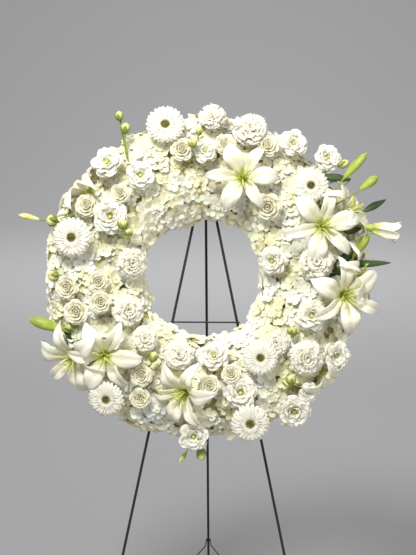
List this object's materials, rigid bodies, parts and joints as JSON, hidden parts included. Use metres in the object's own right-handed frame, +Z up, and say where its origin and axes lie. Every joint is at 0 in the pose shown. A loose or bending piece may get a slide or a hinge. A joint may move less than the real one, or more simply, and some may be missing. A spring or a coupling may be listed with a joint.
{
  "type": "funeral wreath on easel",
  "caption": "Round wreath of white flowers on a foam ring, hung on a folding three-legged wire easel that leans back.",
  "frame": {"origin": "on the floor, under the middle of the whole object's box", "axes": "+Z up, the wreath faces -Y, +X to the right as seen from the front"},
  "size_m": [0.894, 0.7266, 1.5235],
  "materials": {
    "steel": "satin",
    "tray": "matte",
    "foam": "matte",
    "hydrangea": "matte",
    "lily": "satin",
    "gerbera": "matte",
    "rose": "matte",
    "carnation": "matte",
    "lisianthus": "matte",
    "leaf": "satin"
  },
  "bodies": {
    "stand": {"lily_top": "lily", "lily_upper_right": "lily", "lily_lower_right": "lily", "lily_lower_left": "lily", "lily_bottom": "lily", "gerbera_top": "gerbera", "gerbera_left": "gerbera", "gerbera_upper_right": "gerbera", "gerbera_lower_left": "gerbera", "gerbera_lower_right": "gerbera", "gerbera_bottom": "gerbera", "lily_stem_upper_right": "leaf", "lily_stem_right": "leaf", "lily_stem_left": "leaf", "lily_side_upper_left": "lily", "lily_side_lower_right": "lily", "carnation_top": "carnation", "carnation_right": "carnation", "carnation_left": "carnation", "carnation_lower_right": "carnation", "carnation_inner_left": "carnation", "carnation_inner_bottom": "carnation", "lisianthus_upper_left": "lisianthus", "lisianthus_left": "lisianthus", "lisianthus_upper_right": "lisianthus", "lisianthus_top": "lisianthus", "lisianthus_bottom": "lisianthus", "lisianthus_inner_bottom": "lisianthus", "lisianthus_lower_right": "lisianthus", "lisianthus_right": "lisianthus", "lisianthus_inner_right": "lisianthus", "rose_upper_left": "rose", "rose_top": "rose", "rose_upper_right": "rose", "rose_left": "rose", "rose_inner_left": "rose", "rose_lower_left": "rose", "rose_bottom": "rose", "hydrangea_01": "hydrangea", "hydrangea_02": "hydrangea", "hydrangea_03": "hydrangea", "hydrangea_04": "hydrangea", "hydrangea_05": "hydrangea", "hydrangea_06": "hydrangea", "hydrangea_07": "hydrangea", "hydrangea_08": "hydrangea", "hydrangea_09": "hydrangea", "hydrangea_10": "hydrangea", "tray": "tray", "foam_ring": "foam", "front_leg_left": "steel", "front_leg_right": "steel", "easel_head": "steel", "hinge_pin": "steel", "crossbar": "steel", "hanger": "steel"},
    "rear_leg": {"rear_leg": "steel"},
    "brace": {"brace_left": "steel", "brace_right": "steel"}
  },
  "joints": [
    {"name": "rear_leg_fold", "type": "hinge", "parent": "stand", "child": "rear_leg", "pos_m": [-0.009, -0.05906, 1.36321], "axis": [-1, 0, 0], "range_deg": [0, 29]},
    {"name": "brace_fold", "type": "hinge", "parent": "stand", "child": "brace", "pos_m": [-0.009, -0.30882, 0.20789], "axis": [1, 0, 0], "range_deg": [0, 69.6]}
  ],
  "couplings": [
    {"joint": "brace_fold", "follows": "rear_leg_fold", "ratio": 2.4}
  ]
}
